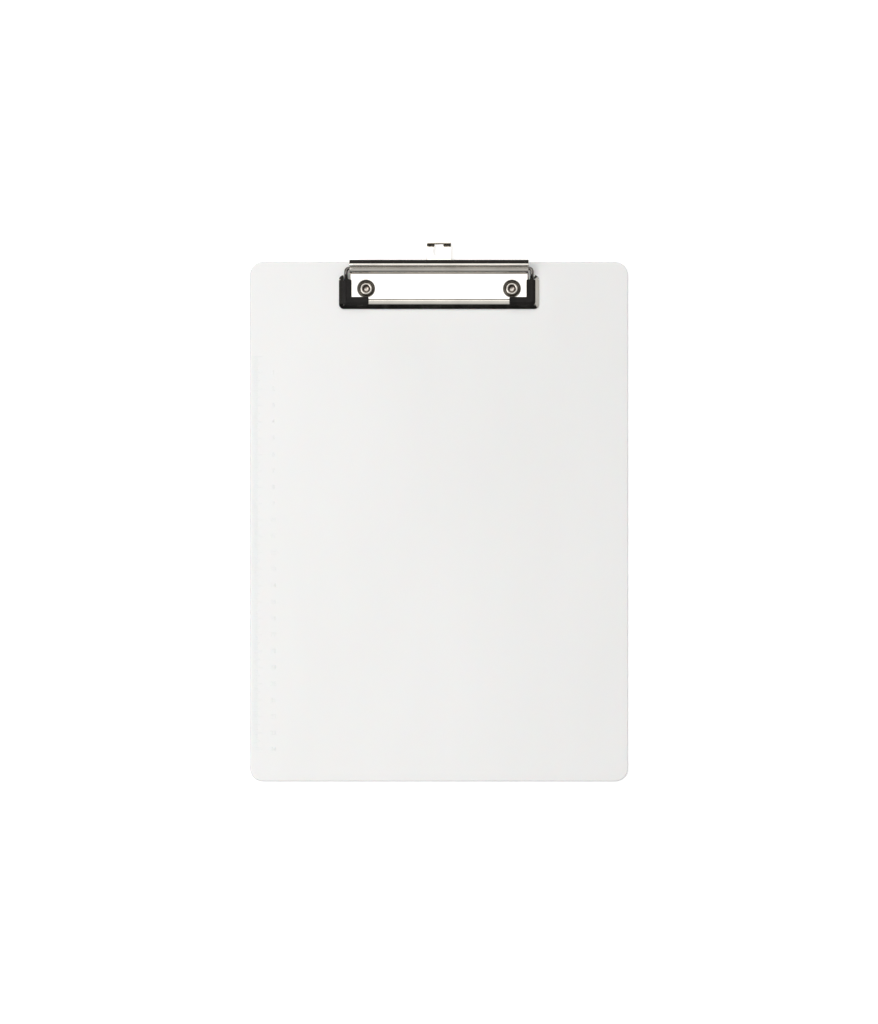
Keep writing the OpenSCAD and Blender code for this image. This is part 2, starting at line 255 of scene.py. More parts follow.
def bent_strip(path, sheet, x0, x1, spans):
    """A bent sheet drawn out along X from x0 to x1, with rounded ends."""
    end = sheet * 0.35
    ends = [(0.0, 0.45), (0.3 * end, 0.78), (end, 1.0)]
    stations = [(x0 + d, share) for d, share in ends]
    stations += [(x0 + (x1 - x0) * i / spans, 1.0) for i in range(1, spans)]
    stations += [(x1 - d, share) for d, share in reversed(ends)]
    rows = [[(x, u, v) for u, v in sheet_section(path, sheet * share)]
            for x, share in stations]
    points, faces = grid(rows, closed_cols=True)
    count, n, e = len(rows[0]), len(path), len(END_TURNS)
    for base in (0, (len(rows) - 1) * count):
        for i in range(n - 1):
            j = n + e + (n - 1 - i)
            faces.append((base + i, base + i + 1, base + j - 1, base + j))
        faces.append([base + n - 1 + k for k in range(e + 2)])
        faces.append([base + (2 * n + e - 1 + k) % count for k in range(e + 2)])
    return points, faces


def merged(parts):
    """Several (points, faces) as one."""
    points, faces = [], []
    for p, f in parts:
        faces += [[i + len(points) for i in face] for face in f]
        points += p
    return points, faces


def mirrored(part):
    """A part on the other side in X."""
    points, faces = part
    return [(-x, y, z) for x, y, z in points], faces


def tube(line, radius, sides):
    """A round wire along a line of points, with domed ends."""
    line = [Vector(p) for p in line]
    runs = [(line[min(i + 1, len(line) - 1)] - line[max(i - 1, 0)]).normalized()
            for i in range(len(line))]
    side = runs[0].orthogonal().normalized()
    places = []
    for p, run in zip(line, runs):
        side = (side - run * side.dot(run)).normalized()
        places.append((p, run, side, run.cross(side)))

    def ring(p, run, a, b, along, r):
        return [tuple(p + run * along + (a * cos(t) + b * sin(t)) * r)
                for t in (2 * pi * k / sides for k in range(sides))]

    dome = [(0.95, 0.3), (0.8, 0.6), (0.5, 0.87)]
    rows = [ring(*places[0], -height * radius * 0.5, share * radius) for height, share in dome]
    rows += [ring(*where, 0, radius) for where in places]
    rows += [ring(*places[-1], height * radius * 0.5, share * radius)
             for height, share in reversed(dome)]
    return capped(rows)


def lathe(profile, centre, steps=72):
    """A profile of (radius, height) points turned about an upright axis. It is closed where
    both of its ends are on the axis."""
    rows = [[(centre[0] + r * cos(2 * pi * k / steps),
              centre[1] + r * sin(2 * pi * k / steps), z) for k in range(steps)]
            for r, z in profile]
    return grid(rows, closed_cols=True)


def arc_points(centre, radius, start, end, steps):
    """(u, v) points of an arc, angles in degrees."""
    angles = [radians(start + (end - start) * i / steps) for i in range(steps + 1)]
    return [(centre[0] + radius * cos(a), centre[1] + radius * sin(a)) for a in angles]


def rounded_rect(half_w, y0, y1, radius, steps=12):
    """Closed plan outline of a rectangle with round corners."""
    right, left = half_w - radius, radius - half_w
    front, rear = y0 + radius, y1 - radius
    return [point for centre, start in (((right, front), -90), ((right, rear), 0),
                                        ((left, rear), 90), ((left, front), 180))
            for point in arc_points(centre, radius, start, start + 90, steps)]


# ------------------------------------------------------------------------- materials


def maths_node(tree, operation, a, b=0.0):
    """Output of a maths node fed by two numbers or sockets."""
    node = tree.nodes.new("ShaderNodeMath")
    node.operation = operation
    for socket, value in zip(node.inputs, (a, b)):
        if isinstance(value, float):
            socket.default_value = value
        else:
            tree.links.new(value, socket)
    return node.outputs["Value"]


class Shader:
    """A material's node tree, with short calls for the nodes used here."""

    def __init__(self, name):
        self.material = bpy.data.materials.new(name)
        self.material.use_nodes = True
        self.tree = self.material.node_tree
        self.nodes = self.tree.nodes
        self.links = self.tree.links
        self.surface = next(n for n in self.nodes if n.type == "BSDF_PRINCIPLED")
        self.coords = self.nodes.new("ShaderNodeTexCoord").outputs["Object"]

    def set(self, **values):
        for socket, value in values.items():
            self.surface.inputs[socket.replace("_", " ")].default_value = value

    def noise(self, scale, detail, roughness=0.5, stretch=(1, 1, 1), seed=0.0):
        mapping = self.nodes.new("ShaderNodeMapping")
        mapping.inputs["Scale"].default_value = stretch
        mapping.inputs["Location"].default_value = (seed, seed * 0.7, seed * 1.3)
        noise = self.nodes.new("ShaderNodeTexNoise")
        noise.inputs["Scale"].default_value = scale
        noise.inputs["Detail"].default_value = detail
        noise.inputs["Roughness"].default_value = roughness
        self.links.new(self.coords, mapping.inputs["Vector"])
        self.links.new(mapping.outputs["Vector"], noise.inputs["Vector"])
        return noise.outputs["Fac"]

    def ramp(self, value, stops):
        ramp = self.nodes.new("ShaderNodeValToRGB")
        elements = ramp.color_ramp.elements
        while len(elements) < len(stops):
            elements.new(0.5)
        for element, (position, level) in zip(elements, stops):
            element.position = position
            element.color = (*level, 1) if isinstance(level, tuple) else (level,) * 3 + (1,)
        self.links.new(value, ramp.inputs["Fac"])
        return ramp.outputs["Color"]

    def span(self, value, low, high):
        """Spreads the middle of a noise's values over a range."""
        spread = self.nodes.new("ShaderNodeMapRange")
        spread.inputs["To Min"].default_value = low
        spread.inputs["To Max"].default_value = high
        spread.inputs["From Min"].default_value = 0.3
        spread.inputs["From Max"].default_value = 0.7
        self.links.new(value, spread.inputs["Value"])
        return spread.outputs["Result"]

    def blend(self, share, a, b):
        mix = self.nodes.new("ShaderNodeMix")
        mix.data_type = "RGBA"
        for socket, source in zip((mix.inputs[0], mix.inputs[6], mix.inputs[7]),
                                  (share, a, b)):
            if isinstance(source, (tuple, float)):
                socket.default_value = (*source, 1) if isinstance(source, tuple) else source
            else:
                self.links.new(source, socket)
        return mix.outputs[2]

    def from_rivets(self, reach):
        """Distance from the nearer rivet's axis, as a share of a reach in millimetres."""
        split = self.nodes.new("ShaderNodeSeparateXYZ")
        self.links.new(self.coords, split.inputs[0])
        aside = self.maths("ABSOLUTE", split.outputs["X"])
        aside = self.maths("SUBTRACT", aside, RIVET_X * MM)
        along = self.maths("SUBTRACT", split.outputs["Y"], RIVET_Y * MM)
        square = self.maths("ADD", self.maths("POWER", aside, 2.0),
                            self.maths("POWER", along, 2.0))
        return self.maths("MULTIPLY", self.maths("SQRT", square), 1 / (reach * MM))

    def height(self, top):
        """Height above the board's back, as a share of a height in millimetres."""
        split = self.nodes.new("ShaderNodeSeparateXYZ")
        self.links.new(self.coords, split.inputs[0])
        return self.maths("MULTIPLY", split.outputs["Z"], 1 / (top * MM))

    def maths(self, operation, a, b=0.0):
        return maths_node(self.tree, operation, a, b)

    def feed(self, value, socket):
        self.links.new(value, self.surface.inputs[socket])

    def bump(self, height, distance, strength):
        bump = self.nodes.new("ShaderNodeBump")
        bump.inputs["Distance"].default_value = distance * MM
        bump.inputs["Strength"].default_value = strength
        self.links.new(height, bump.inputs["Height"])
        before = self.surface.inputs["Normal"]
        if before.is_linked:
            self.links.new(before.links[0].from_socket, bump.inputs["Normal"])
        self.links.new(bump.outputs["Normal"], before)


def frosted_plastic():
    """Translucent white board plastic: fine grain, faint flow marks, light handling wear, and
    painted shade on its sides: a darker, cooler colour towards the edge."""
    s = Shader("frosted_plastic")
    s.set(IOR=1.49, Subsurface_Weight=0.12, Subsurface_Scale=0.002)
    flow = s.noise(9, detail=4, stretch=(1, 0.35, 1))
    tone = s.ramp(flow, [(0.3, (0.735, 0.735, 0.728)), (0.7, (0.765, 0.765, 0.760))])
    # Painted shade: below the top face, the board's sides take a darker, cooler colour, where
    # the rounded edge falls into shade.
    edge = s.ramp(s.height(BOARD.z1), [(0.88, 1.0), (0.995, 0.0)])
    s.feed(s.blend(edge, tone, (0.645, 0.65, 0.67)), "Base Color")
    wear = s.noise(60, detail=6, roughness=0.6, seed=3)
    s.feed(s.span(wear, 0.34, 0.46), "Roughness")
    s.bump(s.noise(2600, detail=2), 0.010, 0.35)
    s.bump(s.noise(45, detail=2, seed=5), 0.05, 0.10)
    return s.material


def chrome(name, tint, smear, scratch, polish=(0.03, 0.09)):
    """Plate over pressed steel: soft smears, fine polishing marks and pits."""
    s = Shader(name)
    s.set(Metallic=1.0)
    tone = s.noise(70, detail=4, seed=smear)
    dull = tuple(c * 0.90 for c in tint)
    s.feed(s.ramp(tone, [(0.35, dull), (0.62, tint)]), "Base Color")
    s.feed(s.span(s.noise(160, detail=5, seed=smear + 2), *polish), "Roughness")
    s.bump(s.noise(900, detail=3, stretch=scratch, seed=smear), 0.0016, 0.5)
    s.bump(s.noise(110, detail=1, seed=smear + 4), 0.010, 0.35)
    return s


# Reach of the painted shade round the rivets, in millimetres.
PAINTED_SHADE_REACH = 10.0


def grimed(s, tint, rings):
    """Painted shade: darkens a shader's colour in rings (radius in millimetres, share) round the
    rivets, where their hollows fall into shade.
    """
    share = s.ramp(s.from_rivets(PAINTED_SHADE_REACH), [(r / PAINTED_SHADE_REACH, level) for r, level in rings])
    before = s.surface.inputs["Base Color"].links[0].from_socket
    s.feed(s.blend(share, before, tint), "Base Color")
    return s


def nickel():
    """Rivet plating, duller than the chrome, with setting marks from the tool."""
    s = Shader("nickel_plate")
    s.set(Metallic=1.0)
    tones = [(0.35, (0.42, 0.39, 0.35)), (0.65, (0.54, 0.51, 0.47))]
    s.feed(s.ramp(s.noise(400, detail=4), tones), "Base Color")
    s.feed(s.span(s.noise(700, detail=4, seed=2), 0.12, 0.30), "Roughness")
    s.bump(s.noise(1500, detail=3, seed=1), 0.006, 0.5)
    return s


def spring_steel():
    """Plain drawn wire with a little oil and oxide."""
    s = Shader("spring_steel")
    s.set(Metallic=1.0)
    tones = [(0.35, (0.30, 0.28, 0.26)), (0.7, (0.50, 0.49, 0.47))]
    s.feed(s.ramp(s.noise(500, detail=4), tones), "Base Color")
    s.feed(s.span(s.noise(900, detail=3, seed=2), 0.22, 0.40), "Roughness")
    s.bump(s.noise(2500, detail=2, seed=4), 0.003, 0.5)
    return s.material


def rubber():
    """Moulded black rubber: satin grain, paler where it has been handled."""
    s = Shader("grip_rubber")
    s.set(IOR=1.52, Specular_IOR_Level=0.12)
    tones = [(0.3, (0.004, 0.0035, 0.003)), (0.75, (0.012, 0.010, 0.009))]
    s.feed(s.ramp(s.noise(240, detail=5), tones), "Base Color")
    s.feed(s.span(s.noise(500, detail=4, seed=2), 0.34, 0.52), "Roughness")
    s.bump(s.noise(3200, detail=2, seed=4), 0.008, 0.6)
    return s.material


CHROME = chrome("chrome_sheet", (0.85, 0.815, 0.75), 0.0, (0.06, 1, 1)).material
# Painted shade: the plate's cups round the rivets are darkened by a dark colour painted in
# rings.
CHROME_PLATE = grimed(chrome("chrome_plate", (0.85, 0.82, 0.77), 0.0, (0.06, 1, 1)),
                      (0.075, 0.07, 0.06),
                      [(3.7, 0.95), (5.2, 0.92), (5.55, 0.58), (5.95, 0.0)]).material
CHROME_WIRE = chrome("chrome_wire", (0.14, 0.13, 0.12), 7.0, (1, 1, 1),
                     polish=(0.22, 0.34)).material
PLASTIC = frosted_plastic()
# Painted shade: the rivets' blind holes are darkened by a dark colour painted in rings, with
# less of it at the centre.
NICKEL = grimed(nickel(), (0.075, 0.05, 0.035),
                [(0.85, 0.22), (1.35, 0.87), (2.15, 0.78), (2.4, 0.0)]).material
SPRING_STEEL = spring_steel()
RUBBER = rubber()


# ----------------------------------------------------------------------------- board

HEAD_R = RIVET.half_w
RECESS_R = HEAD_R + 0.2
RECESS_DEPTH = 1.1
SHANK_HOLE_R = 2.8
EDGE_R = 0.9
CORNER_R = 8.0


def board_panel():
    """Moulded panel with soft edges, and recesses for the rivet heads in its back."""
    soft = arc_points((0, 0), 1, 180, 90, 6)
    lower = [(EDGE_R * (1 + u), BOARD.z0 + EDGE_R * (1 - v)) for u, v in reversed(soft)]
    upper = [(EDGE_R * (1 + u), BOARD.z1 - EDGE_R * (1 - v)) for u, v in soft]
    rings = []
    for inset, z in [(EDGE_R + 0.3, BOARD.z0), *lower, *upper, (EDGE_R + 0.3, BOARD.z1)]:
        rings.append([(x, y, z) for x, y in rounded_rect(
            BOARD.half_w - inset, BOARD.y0 + inset, BOARD.y1 - inset, CORNER_R - inset)])
    panel = new_mesh("board_panel_moulded", *capped(rings))
    below, above = BOARD.z0 - 1, BOARD.z1 + 1
    recess = [(0, below), (RECESS_R, below), (RECESS_R, RECESS_DEPTH),
              (SHANK_HOLE_R, RECESS_DEPTH), (SHANK_HOLE_R, above), (0, above)]
    cut(panel, *[new_mesh("recess", *lathe(recess, (x, RIVET_Y))) for x in (-RIVET_X, RIVET_X)])
    smooth(panel)
    place(panel, "board", PLASTIC, ["board_panel"])


RULER_TOP = 101.0
RULER_CM = 24
TICK_X = BOARD.x0 + 2.0
TICK_HALF_W = 0.16
TICK_H = 0.13
TICK_LENGTHS = {10: 5.6, 5: 4.2, 1: 2.8}
NUMERAL_X = BOARD.x0 + 14.3
NUMERAL_SIZE = 3.6
TICK_SUNK = 0.02


def capsule(x0, x1, y, half_w, height):
    """Low rounded bar along X on the board's face."""
    z = BOARD.z1
    rows = []
    for x, grow in ((x0, 0.35), (x0 + half_w * 0.5, 0.85), (x0 + half_w, 1),
                    (x1 - half_w, 1), (x1 - half_w * 0.5, 0.85), (x1, 0.35)):
        rows.append([(x, y + half_w * grow * cos(radians(t)),
                      z - TICK_SUNK + (height * grow + TICK_SUNK) * sin(radians(t)))
                     for t in (0, 45, 90, 135, 180)])
    points, faces = grid(rows)
    n, m = len(rows), len(rows[0])
    first, last = list(range(m)), [(n - 1) * m + k for k in range(m)]
    floor = [m * k for k in range(n)] + [m * k + m - 1 for k in reversed(range(n))]
    return points, faces + [first, last, floor]


def ruler_numeral(text, x, y):
    """Mesh of one numeral, as low moulded relief, from Blender's own plain font."""
    curve = bpy.data.curves.new("numeral", "FONT")
    curve.body = text
    curve.size = NUMERAL_SIZE * MM
    curve.align_x = "CENTER"
    curve.align_y = "CENTER"
    curve.extrude = 0.07 * MM
    curve.bevel_depth = 0.035 * MM
    curve.bevel_resolution = 0
    curve.resolution_u = 3
    curve.offset = 0.04 * MM
    item = bpy.data.objects.new("numeral", curve)
    bpy.context.scene.collection.objects.link(item)
    item.location = (x * MM, y * MM, (BOARD.z1 + 0.04) * MM)
    bpy.context.view_layer.update()
    mesh = bpy.data.meshes.new_from_object(
        item.evaluated_get(bpy.context.evaluated_depsgraph_get()))
    mesh.transform(item.matrix_world)
    bpy.data.objects.remove(item)
    return mesh


def moulded_ruler():
    """Centimetre ruler along the left edge: ticks each millimetre and generic numerals."""
    bars = []
    for i in range(RULER_CM * 10 + 1):
        length = next(TICK_LENGTHS[every] for every in TICK_LENGTHS if i % every == 0)
        bars.append(capsule(TICK_X, TICK_X + length, RULER_TOP - i, TICK_HALF_W, TICK_H))
    ruler = new_mesh("moulded_ruler", *merged(bars))
    bm = bmesh.new()
    bm.from_mesh(ruler.data)
    for i in range(1, RULER_CM + 1):
        numeral = ruler_numeral(str(i), NUMERAL_X, RULER_TOP - 10 * i)
        bm.from_mesh(numeral)
        bpy.data.meshes.remove(numeral)
    bmesh.ops.remove_doubles(bm, verts=bm.verts, dist=0.002 * MM)
    bm.to_mesh(ruler.data)
    bm.free()
    ruler.data.shade_smooth()
    ruler.data.set_sharp_from_angle(angle=radians(50))
    ruler.data.materials.clear()
    ruler.data.materials.append(PLASTIC)
    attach(ruler, "board")


# ------------------------------------------------------------------------- clip base

BASE_SHEET = 0.8
PLATE_Z = BOARD.z1 + 2.0
CUP_FLOOR = BOARD.z1 + BASE_SHEET
CUP_REACH = 8.0
PLATE_BEND = 0.5
CUP_HOLE_R, CUP_INNER, CUP_OUTER = 2.82, 3.85, 5.3
KNUCKLE_SHEET = 0.65
KNUCKLE_R = 1.475
KNUCKLE_BEND = 0.675
KNUCKLE_FOOT = 0.3
KNUCKLE_SPANS = ((26, 32), (46, 53))
PATCH_STEPS = 20
DEPTH_STEPS = 26
MIDDLE_STEPS = 24


def cup_height(r):
    """Height of the plate's upper face at a distance from a rivet's axis."""
    share = min(max((r - CUP_INNER) / (CUP_OUTER - CUP_INNER), 0), 1)
    soft = share * share * (3 - 2 * share)
    return CUP_FLOOR + (PLATE_Z - CUP_FLOOR) * (0.75 * share + 0.25 * soft)


def cup_patch(cx, patch_x, rows_y):
    """The plate's upper face round one rivet: a cup that widens into a rectangle."""
    border = [(cx + x, rows_y[0]) for x in patch_x]
    border += [(cx + CUP_REACH, y) for y in rows_y[1:]]
    border += [(cx + x, rows_y[-1]) for x in reversed(patch_x[:-1])]
    border += [(cx - CUP_REACH, y) for y in reversed(rows_y[1:-1])]
    angles = [atan2(y - RIVET_Y, x - cx) for x, y in border]
    radii = [CUP_HOLE_R, 3.3, 3.75]
    radii += [CUP_INNER + (CUP_OUTER - CUP_INNER) * k / 10 for k in range(11)]
    rings = [[(cx + r * cos(a), RIVET_Y + r * sin(a), cup_height(r)) for a in angles]
             for r in radii]
    rim = rings[-1]
    for share in (0.25, 0.6, 1.0):
        rings.append([(p[0] + (x - p[0]) * share, p[1] + (y - p[1]) * share, PLATE_Z)
                      for p, (x, y) in zip(rim, border)])
    return grid(rings, closed_cols=True)


def plate_top():
    """Upper face of the base plate, with a cup round each rivet and turned-down edges."""
    side, front, rear = BASE.half_w - PLATE_BEND, BASE.y0 + PLATE_BEND, BASE.y1
    middle = RIVET_X - CUP_REACH
    rows_y = [front + (rear - front) * k / DEPTH_STEPS for k in range(DEPTH_STEPS + 1)]
    patch_x = [CUP_REACH * (2 * k / PATCH_STEPS - 1) for k in range(PATCH_STEPS + 1)]
    parts = []
    for x0, x1, count in ((-side, -RIVET_X - CUP_REACH, 1), (-middle, middle, MIDDLE_STEPS),
                          (RIVET_X + CUP_REACH, side, 1)):
        columns = [x0 + (x1 - x0) * k / count for k in range(count + 1)]
        parts.append(grid([[(x, y, PLATE_Z) for x in columns] for y in rows_y]))
    parts += [cup_patch(cx, patch_x, rows_y) for cx in (-RIVET_X, RIVET_X)]
    edge = [(-side, y, -1, 0) for y in reversed(rows_y)]
    edge += [(-side, front, cos(radians(a)), sin(radians(a))) for a in range(190, 270, 10)]
    edge += [(-side, front, 0, -1)]
    edge += [(-RIVET_X + x, front, 0, -1) for x in patch_x]
    edge += [(-middle + 2 * middle * k / MIDDLE_STEPS, front, 0, -1)
             for k in range(1, MIDDLE_STEPS)]
    edge += [(RIVET_X + x, front, 0, -1) for x in patch_x]
    edge += [(side, front, 0, -1)]
    edge += [(side, front, cos(radians(a)), sin(radians(a))) for a in range(280, 360, 10)]
    edge += [(side, y, 1, 0) for y in rows_y]
    drop = [(PLATE_BEND * sin(radians(t)), PLATE_Z - PLATE_BEND * (1 - cos(radians(t))))
            for t in range(0, 91, 15)]
    drop += [(PLATE_BEND, BOARD.z1 + 0.06)]
    parts.append(grid([[(x + nx * d, y + ny * d, z) for x, y, nx, ny in edge]
                       for d, z in drop]))
    return merged(parts)


def clip_base():
    """Pressed plate with turned-down edges, and four knuckles rolled round the bail."""
    plate = new_mesh("clip_base_pressed", *plate_top(), weld=0.01)
    if plate.data.polygons[0].normal.z < 0:
        plate.data.flip_normals()
    thicken(plate, BASE_SHEET - 0.02)
    middle_z = PLATE_Z - BASE_SHEET / 2
    knuckle = trace((HINGE_Y + KNUCKLE_FOOT, middle_z), 0,
                    [(KNUCKLE_R - KNUCKLE_BEND - KNUCKLE_FOOT,), (KNUCKLE_BEND, 90),
                     (HINGE_Z - middle_z - KNUCKLE_BEND,), (KNUCKLE_R, 300)], step=12)
    strips = []
    for x0, x1 in KNUCKLE_SPANS:
        strip = bent_strip(knuckle, KNUCKLE_SHEET, x0, x1, 3)
        strips += [strip, mirrored(strip)]
    join(plate, new_mesh("knuckles", *merged(strips)))
    round_edges(plate, 0.12, angle=60, segments=2)
    smooth(plate)
    place(plate, "board", CHROME_PLATE, ["clip_base"])


# ---------------------------------------------------------------------------- rivets


def rivet(name, x, node):
    """Semi-tubular rivet: flat factory head below, rolled end and blind hole above."""
    hole, shank, head, head_t, roll_r = 2.03, 2.75, HEAD_R, 1.0, 0.9
    roll = (2.95, RIVET.z1 - roll_r)
    seat = 3.83
    profile = [(0.0, head_t + 0.6), (1.1, head_t + 0.62), (1.7, head_t + 0.85),
               (hole, head_t + 1.3), (hole, roll[1] - 0.25)]
    profile += arc_points(roll, roll_r, 170, 0, 14)
    profile += [(3.8, seat + 0.03), (3.65, seat), (shank, seat), (shank, head_t)]
    profile += [(head - 0.25, head_t), (head - 0.06, head_t - 0.07), (head, head_t - 0.25),
                (head, 0.3), (head - 0.07, 0.12), (head - 0.25, 0.05), (0.0, 0.05)]
    piece = new_mesh(name, *lathe(profile, (x, RIVET_Y)))
    smooth(piece)
    place(piece, "board", NICKEL, [node])


# ----------------------------------------------------------------------------- hook

HOOK_SHEET = 0.8
HOOK_W = 14.9
HOOK_LIP_ANGLE = 37
HOOK_LIP = 2.37
TEE_LEN = 2.7
KEYHOLE_R = 3.9
SLOT_W = 5.3
SLOT_END = HOOK.y1 - 1.25


def hanging_hook():
    """Pull-out tab with a tee inside the clip, a keyhole and a turned-up finger lip."""
    mid = HOOK.z0 + HOOK_SHEET / 2
    lip_y = HOOK.y1 - 2.9
    inner_y = HOOK.y0 + 0.5
    path = trace((inner_y, mid), 0,
                 [(lip_y - inner_y,), (1.0, HOOK_LIP_ANGLE), (HOOK_LIP,)], step=6)
    tab = new_mesh("hanging_hook_pressed",
                   *bent_strip(path, HOOK_SHEET, -HOOK_W / 2, HOOK_W / 2, 10))
    keyhole_y = SLOT_END - KEYHOLE_R - 0.01
    low, high = BOARD.z0, BOARD.z0 + 10
    round_part = new_mesh("keyhole", *lathe(
        [(0, low), (KEYHOLE_R, low), (KEYHOLE_R, high), (0, high)], (0, keyhole_y), steps=96))
    half = SLOT_W / 2
    corners = [(x, y, z) for z in (low, high) for x, y in (
        (-half, keyhole_y), (half, keyhole_y), (half, SLOT_END), (-half, SLOT_END))]
    slot = new_mesh("slot", corners, [(0, 1, 2, 3), (4, 5, 6, 7), (0, 1, 5, 4),
                                      (1, 2, 6, 5), (2, 3, 7, 6), (3, 0, 4, 7)])
    cut(tab, round_part, slot)
    tee = rounded_rect(HOOK.half_w, HOOK.y0, HOOK.y0 + TEE_LEN, 0.5, 4)
    rings = [[(x, y, z) for x, y in tee] for z in (HOOK.z0 + 0.01, HOOK.z0 + HOOK_SHEET - 0.01)]
    join(tab, new_mesh("tee", *capped(rings)))
    round_edges(tab, 0.10, angle=50, segments=2)
    smooth(tab)
    place(tab, "hook", CHROME, ["hanging_hook"])


# ---------------------------------------------------------------------------- lever

LEVER_SHEET = 0.65
LEAN = 6
LEVER_FACE = 5.5
LIP_SLOPE = 36
LIP = 3.0
SHROUD_R = 2.4 + LEVER_SHEET / 2
SHROUD_START = 205
SHROUD_TURN = 105
EAR_R, EAR_OUTER_R = 1.85, 2.55


def lever():
    """Shroud over the hinge, thumb face, and a lip folded back along the top."""
    start = radians(SHROUD_START)
    heading = SHROUD_START - 90
    path = trace((HINGE_Y + SHROUD_R * cos(start), HINGE_Z + SHROUD_R * sin(start)), heading,
                 [(SHROUD_R, -SHROUD_TURN), (0.75, 90 - (heading - SHROUD_TURN) - LEAN),
                  (LEVER_FACE,), (0.5, LEAN - LIP_SLOPE - 90), (LIP,), (0.5, -100)], step=6)
    sheet = bent_strip(path, LEVER_SHEET, LEVER.x0, LEVER.x1, 36)
    outline = arc_points((HINGE_Y, HINGE_Z), EAR_R, 200, 460, 26)
    outline += arc_points((HINGE_Y, HINGE_Z), EAR_OUTER_R, 105, 200, 12)
    ear = capped([[(x, y, z) for y, z in outline]
                  for x in (LEVER.x1 - LEVER_SHEET, LEVER.x1 - 0.02)])
    piece = new_mesh("lever_pressed", *merged([sheet, ear, mirrored(ear)]))
    smooth(piece, angle=40)
    place(piece, "clamp", CHROME, ["lever"])


# ----------------------------------------------------------------------------- bail

WIRE_R = 1.1
WIRE_END_X = 24
ARM_TILT = 40
ARM_BEND = 2.0
WIRE_CORNER = 2.5


def bail_wire():
    """One bent wire: hinge ends, joggled arms and the front run."""
    side_x = BAIL.x1 - WIRE_R
    low_z = BAIL.z0 + WIRE_R
    front_y = BAIL.y0 + WIRE_R
    drop = HINGE_Z - low_z
    straight = ((drop - 2 * ARM_BEND * (1 - cos(radians(ARM_TILT))))
                / sin(radians(ARM_TILT)))
    arm = trace((0, 0), 0, [(0.5,), (ARM_BEND, -ARM_TILT), (straight,), (ARM_BEND, ARM_TILT)],
                step=5)
    bend_x, bend_y = side_x - ARM_BEND, HINGE_Y - ARM_BEND
    line = [(WIRE_END_X, HINGE_Y, HINGE_Z), (40, HINGE_Y, HINGE_Z)]
    line += [(x, y, HINGE_Z) for x, y in arc_points((bend_x, bend_y), ARM_BEND, 90, 0, 15)]
    line += [(side_x, bend_y - u, HINGE_Z + v) for u, v, _ in arm[1:]]
    corner = (side_x - WIRE_CORNER, front_y + WIRE_CORNER)
    line += [(x, y, low_z) for x, y in arc_points(corner, WIRE_CORNER, 0, -90, 15)]
    line += [(-x, y, z) for x, y, z in reversed(line)]
    piece = new_mesh("bail_wire_bent", *tube(line, WIRE_R, sides=28))
    smooth(piece, angle=60)
    place(piece, "clamp", CHROME_WIRE, ["bail_wire"])


# -------------------------------------------------------------------------- jaw bar

JAW_SHEET = 0.52
JAW_CORNER = 3.0
SIDE_WEB, FRONT_WEB = 6.2, 5.4
WEB_TOP = BOARD.z1 + 3.15
WEB_REAR = BASE.y1 - 8.75
WEB_TILT = 0.07
WEB_TILT_FROM = 3.0
NARROWS_FROM, NARROWS_OVER = 3.4, 1.5
FLANGE_ANGLE = 38.7


def jaw_section():
    """Centreline (inset, height) of the jaw's sheet, from the flange's tip over the web to the
    inner lip, and the columns at which the web and the lip begin."""
    tip = (0.24, JAW.z0 + 0.28)
    rise = WEB_TOP - JAW_SHEET / 2 - tip[1]
    bend = 0.75
    slope = (rise - bend * (1 - cos(radians(FLANGE_ANGLE)))) / sin(radians(FLANGE_ANGLE))
    path = trace(tip, FLANGE_ANGLE, [(slope * 0.5,), (slope * 0.5,), (bend, -FLANGE_ANGLE)],
                 step=8)
    web_column = len(path) - 1
    lip_bend, lip = 0.35, 0.55
    half_web = (SIDE_WEB - JAW_SHEET / 2 - lip_bend - path[-1][0]) * 0.5
    path += trace(path[-1][:2], 0, [(half_web,), (half_web,)])[1:]
    lip_column = len(path) - 1
    path += trace(path[-1][:2], 0, [(lip_bend, -90), (lip,)], step=15)[1:]
    return path, web_column, lip_column


def jaw_point(station, inset, height):
    """Point at an inset from the jaw's outer edge. A station is (x, y, angle, where).

    The web is narrower at the front than at the sides, and dips a little there."""
    x, y, angle, where = station
    narrow = min(max((inset - NARROWS_FROM) / NARROWS_OVER, 0), 1) * (SIDE_WEB - FRONT_WEB)
    front = inset - narrow
    if where == "rear":
        radius = max(JAW_CORNER - inset * 0.9, 0.0)
        reach = inset + radius
        return (JAW.x1 - reach + radius * cos(radians(angle)),
                JAW.y1 - reach + radius * sin(radians(angle)), height)
    radius = max(JAW_CORNER - inset * 0.9, 0.15)
    dip = (WEB_TILT * max(FRONT_WEB - max(front, WEB_TILT_FROM), 0)
           * min(inset / WEB_TILT_FROM, 1))
    height -= dip * sin(radians(-angle))
    if where == "corner":
        return (JAW.x1 - inset - radius + radius * cos(radians(angle)),
                JAW.y0 + front + radius + radius * sin(radians(angle)), height)
    if where == "side":
        return (JAW.x1 - inset, max(y, JAW.y0 + front + radius), height)
    return (min(x, JAW.x1 - inset - radius), JAW.y0 + front, height)


